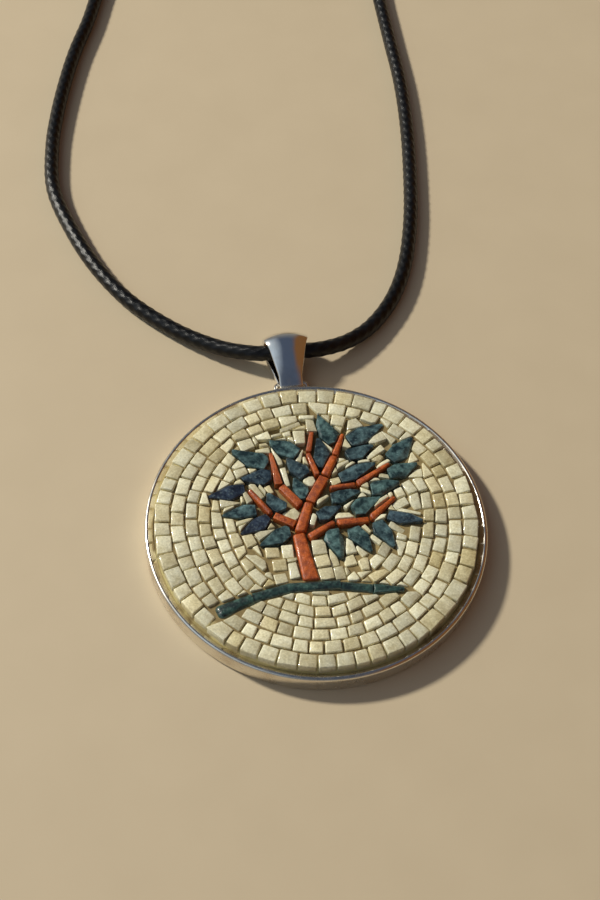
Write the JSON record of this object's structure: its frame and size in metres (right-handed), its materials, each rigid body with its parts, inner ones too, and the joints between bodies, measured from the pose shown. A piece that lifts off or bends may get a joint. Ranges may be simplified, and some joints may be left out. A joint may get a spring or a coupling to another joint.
{
  "type": "mosaic pendant necklace",
  "caption": "Round micro-mosaic pendant with a tree of life in small cut ceramic pieces, in a metal tray with a strip bail on a black waxed cord.",
  "frame": {"origin": "middle of the tray's flat back face", "axes": "+Z out through the mosaic face, +Y from the tray towards the bail"},
  "size_m": [0.0538, 0.1485, 0.005],
  "materials": {
    "silver_plate": "polished silver plate, lightly worn",
    "mortar": "set mortar with varnish in the joints",
    "cream_ceramic": "cut cream ceramic under clear varnish",
    "leaf_ceramic": "cut blue-green ceramic under clear varnish",
    "ground_ceramic": "cut dark green ceramic under clear varnish",
    "terracotta": "cut terracotta, unglazed and slightly granular",
    "waxed_cord": "waxed cotton, glossy",
    "tie_thread": "waxed linen thread",
    "fitting_metal": "polished plate"
  },
  "bodies": {
    "pendant": {"tray": "silver_plate", "staple": "silver_plate", "mortar_bed": "mortar", "ground_left": "ground_ceramic", "ground_middle": "ground_ceramic", "ground_right": "ground_ceramic", "ground_tip": "ground_ceramic", "trunk_foot": "terracotta", "trunk_top": "terracotta", "main_limb_low": "terracotta", "main_limb_middle": "terracotta", "main_limb_tip": "terracotta", "left_limb": "terracotta", "left_limb_tip": "terracotta", "low_left_limb": "terracotta", "low_left_tip": "terracotta", "centre_limb": "terracotta", "centre_limb_tip": "terracotta", "right_limb": "terracotta", "right_limb_tip": "terracotta", "low_right_limb": "terracotta", "low_right_middle": "terracotta", "low_right_tip": "terracotta", "leaves_upper_left": "leaf_ceramic", "leaves_left": "leaf_ceramic", "leaves_crown": "leaf_ceramic", "leaves_upper_right": "leaf_ceramic", "leaves_right": "leaf_ceramic", "leaves_low_right": "leaf_ceramic", "cream_chips": "cream_ceramic", "cream_row_1": "cream_ceramic", "cream_row_2": "cream_ceramic", "cream_row_3": "cream_ceramic", "cream_row_4": "cream_ceramic", "cream_row_5": "cream_ceramic", "cream_row_6": "cream_ceramic", "cream_row_7": "cream_ceramic", "cream_row_8": "cream_ceramic", "cream_row_9": "cream_ceramic"},
    "bail": {"bail": "silver_plate"},
    "cord": {"cord": "waxed_cord", "cord_coil": "waxed_cord", "cord_tail": "waxed_cord", "coil_tie": "tie_thread", "crimp_left": "fitting_metal", "crimp_right": "fitting_metal"},
    "ring_left": {"jump_ring_left": "fitting_metal"},
    "ring_right": {"jump_ring_right": "fitting_metal"},
    "clasp": {"clasp_body": "fitting_metal", "clasp_pin": "fitting_metal", "clasp_spring": "fitting_metal"},
    "lever": {"clasp_lever": "fitting_metal"}
  },
  "joints": [
    {"name": "bail_hinge", "type": "hinge", "parent": "pendant", "child": "bail", "pos_m": [0, 0.02125, 0.00115], "axis": [1, 0, 0], "range_deg": [-90, 60]},
    {"name": "cord_swing", "type": "hinge", "parent": "bail", "child": "cord", "pos_m": [0, 0.0257, 0.00235], "axis": [1, 0, 0], "range_deg": [-90, 90]},
    {"name": "left_ring_swing", "type": "hinge", "parent": "cord", "child": "ring_left", "pos_m": [-0.018, 0.1129, 0.0016], "axis": [0, 0, 1], "range_deg": [-40, 40]},
    {"name": "clasp_swing", "type": "hinge", "parent": "ring_left", "child": "clasp", "pos_m": [-0.018, 0.1155, 0.0016], "axis": [0, 0, 1], "range_deg": [-40, 40]},
    {"name": "lever_open", "type": "hinge", "parent": "clasp", "child": "lever", "pos_m": [-0.0163, 0.119, 0.0016], "axis": [0, 0, 1], "range_deg": [0, 22], "stiffness_Nm_per_rad": 0.001},
    {"name": "right_ring_swing", "type": "hinge", "parent": "cord", "child": "ring_right", "pos_m": [-0.0099, 0.127, 0.0016], "axis": [0, 0, 1], "range_deg": [-40, 40]}
  ]
}
